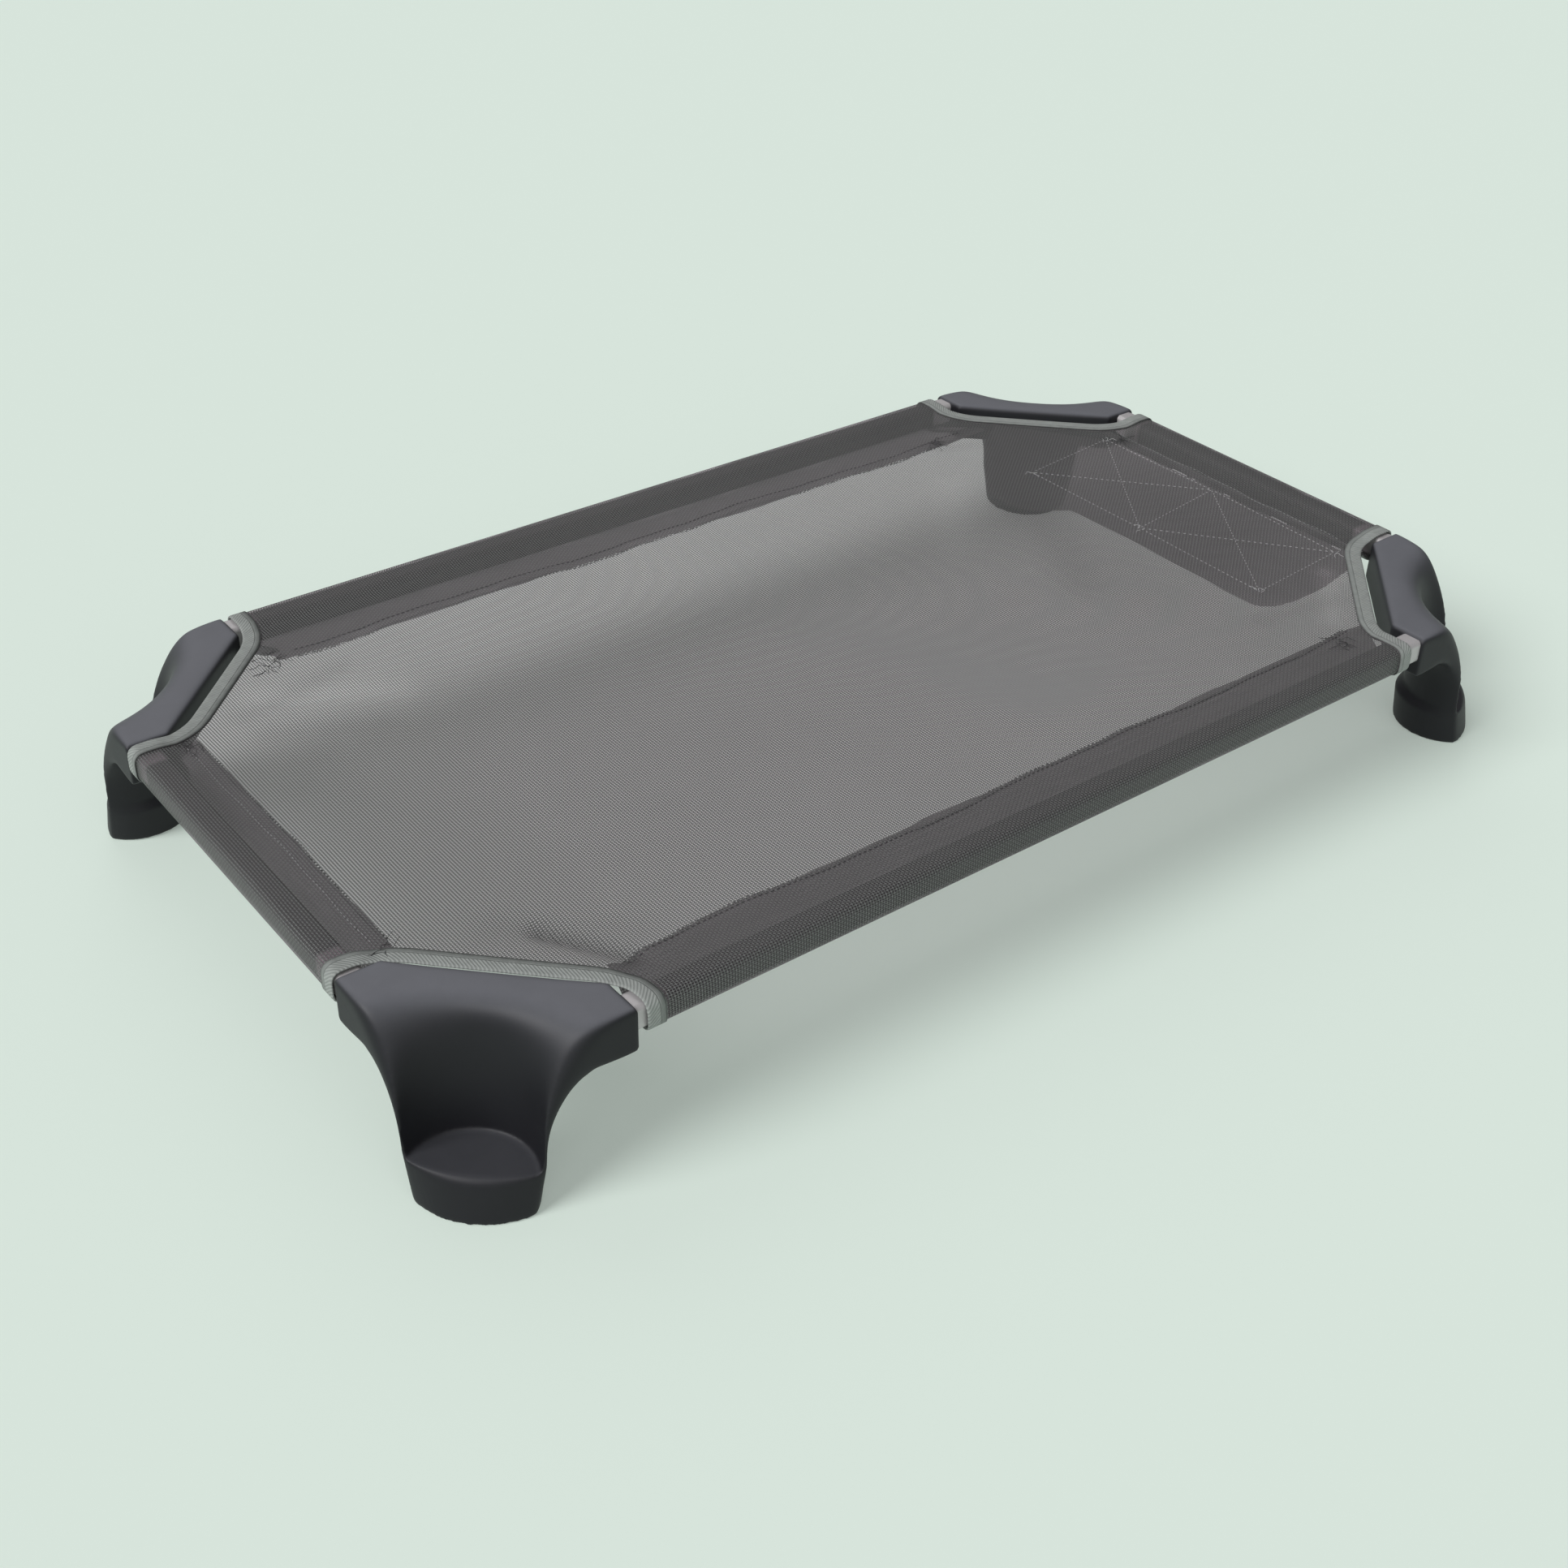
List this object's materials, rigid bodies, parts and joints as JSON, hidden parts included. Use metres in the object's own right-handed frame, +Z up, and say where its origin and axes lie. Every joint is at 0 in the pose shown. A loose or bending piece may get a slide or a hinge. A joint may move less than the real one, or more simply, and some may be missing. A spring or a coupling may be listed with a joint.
{
  "type": "raised dog bed",
  "caption": "Low stackable raised dog bed: moulded corner legs join square tube rails that stretch a see-through mesh sheet with bound, cut corners.",
  "frame": {"origin": "under the middle of the bed on the floor", "axes": "+X along the long side towards the reinforced end, +Y to the back long side, +Z up"},
  "size_m": [1.016, 0.584, 0.127],
  "materials": {
    "leg_plastic": "satin charcoal moulding",
    "rail_metal": "satin light grey tube",
    "mesh_cloth": "woven coated mesh, see-through",
    "binding_tape": "ribbed twill tape",
    "thread": "polyester thread"
  },
  "bodies": {
    "root": {"leg_front_left": "leg_plastic", "binding_front_left": "binding_tape", "leg_front_right": "leg_plastic", "binding_front_right": "binding_tape", "leg_back_right": "leg_plastic", "binding_back_right": "binding_tape", "leg_back_left": "leg_plastic", "binding_back_left": "binding_tape", "rail_front": "rail_metal", "sleeve_front": "mesh_cloth", "hem_seam_front": "thread", "rail_right": "rail_metal", "sleeve_right": "mesh_cloth", "hem_seam_right": "thread", "rail_back": "rail_metal", "sleeve_back": "mesh_cloth", "hem_seam_back": "thread", "rail_left": "rail_metal", "sleeve_left": "mesh_cloth", "hem_seam_left": "thread", "mesh_deck": "mesh_cloth", "reinforcing_panel": "mesh_cloth", "panel_seam": "thread"}
  },
  "joints": []
}
